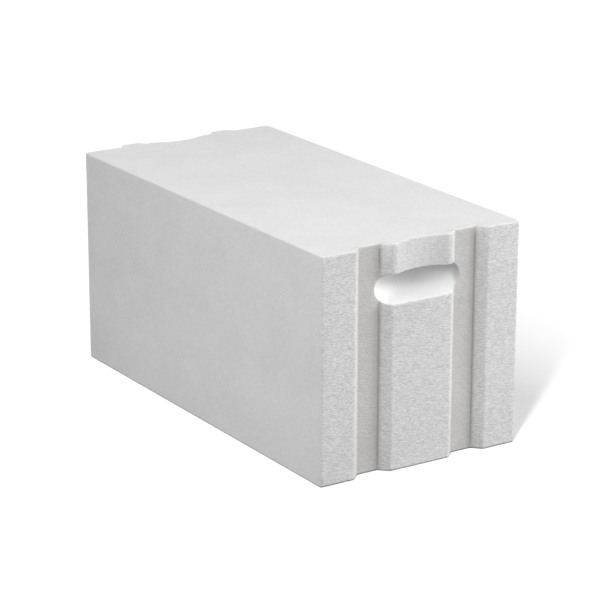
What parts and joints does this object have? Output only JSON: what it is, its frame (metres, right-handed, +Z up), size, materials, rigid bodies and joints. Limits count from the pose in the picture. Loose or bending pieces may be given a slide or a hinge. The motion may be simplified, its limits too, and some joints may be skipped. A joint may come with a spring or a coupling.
{
  "type": "aerated concrete block",
  "caption": "Rectangular aerated concrete wall block with full-height grooves in one end, matching tongues on the other, and a hand pocket milled into each end.",
  "frame": {"origin": "middle of the footprint of the bounding box, on the bed face", "axes": "+X across the wall, +Y along the block from the grooved end to the tongued end, +Z up"},
  "size_m": [0.25, 0.5074, 0.249],
  "materials": {
    "aerated_concrete": "matt, finely pored"
  },
  "bodies": {
    "root": {"block": "aerated_concrete"}
  },
  "joints": []
}
